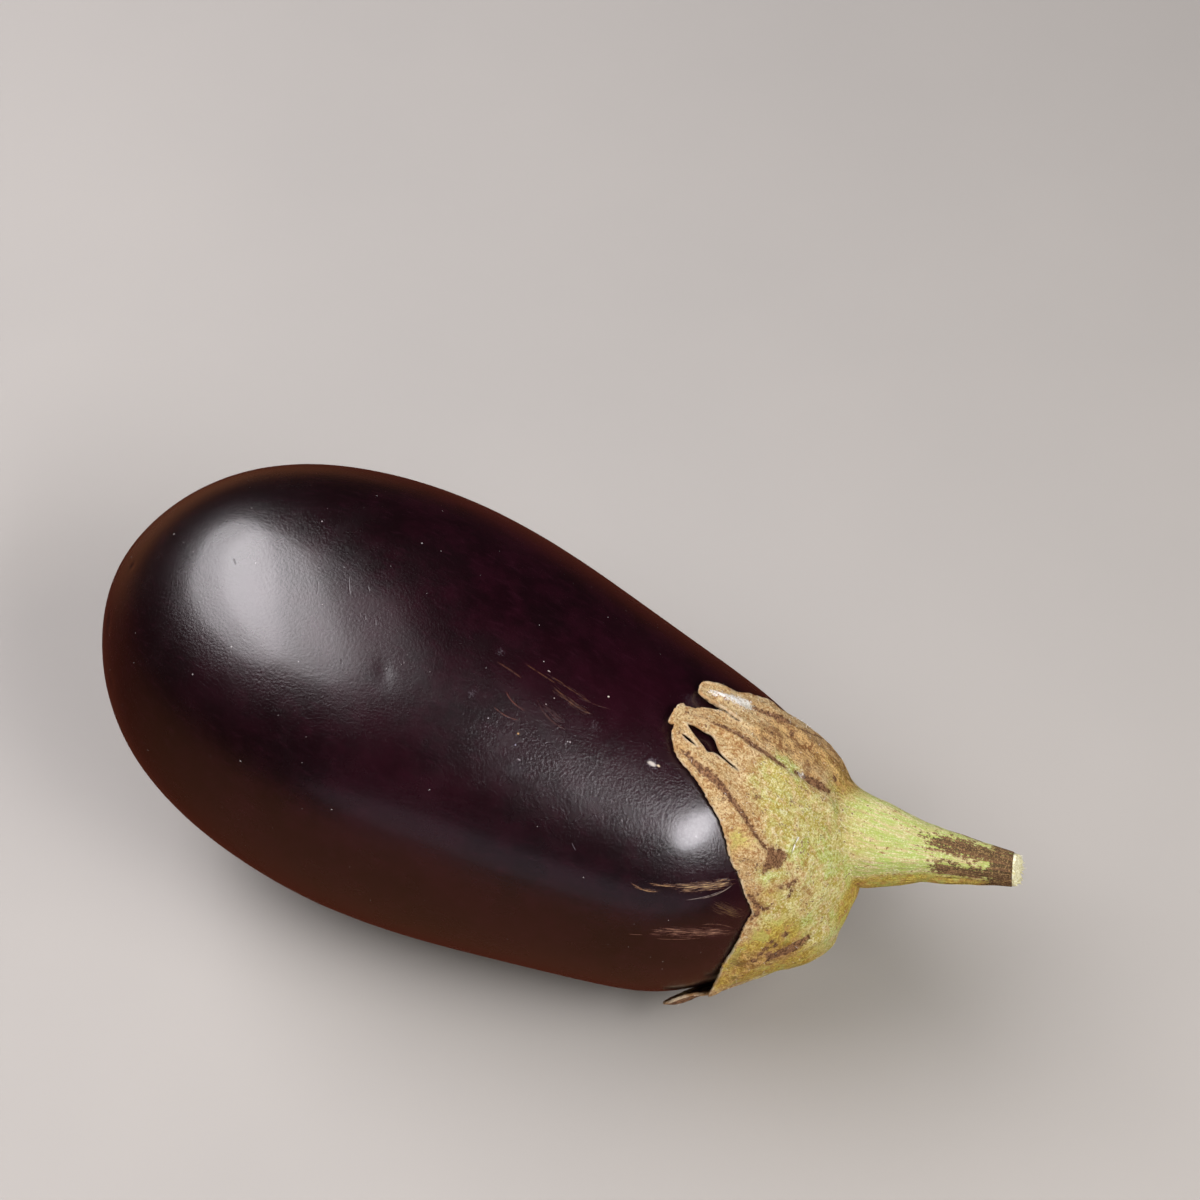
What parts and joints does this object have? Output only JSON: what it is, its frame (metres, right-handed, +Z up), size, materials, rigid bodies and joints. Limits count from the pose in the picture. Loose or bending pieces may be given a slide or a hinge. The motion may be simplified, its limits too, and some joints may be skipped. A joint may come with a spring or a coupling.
{
  "type": "eggplant",
  "caption": "Oval eggplant as picked, lying on its side, with a glossy dark purple fruit and a dried lobed calyx that narrows into a slanting cut stem.",
  "frame": {"origin": "under the middle of the whole object, on the surface that it lies on", "axes": "+X towards the stem, along the fruit's length; +Z up; +Y across, away from the near side"},
  "size_m": [0.2094, 0.095, 0.096],
  "materials": {
    "skin": "smooth waxy skin, near-black purple with a soft gloss",
    "dried_green": "dry, matte, tan at the lobes and yellow-green towards the stem, with dark brown ribs"
  },
  "bodies": {
    "root": {"fruit": "skin", "calyx_and_stem": "dried_green"}
  },
  "joints": []
}
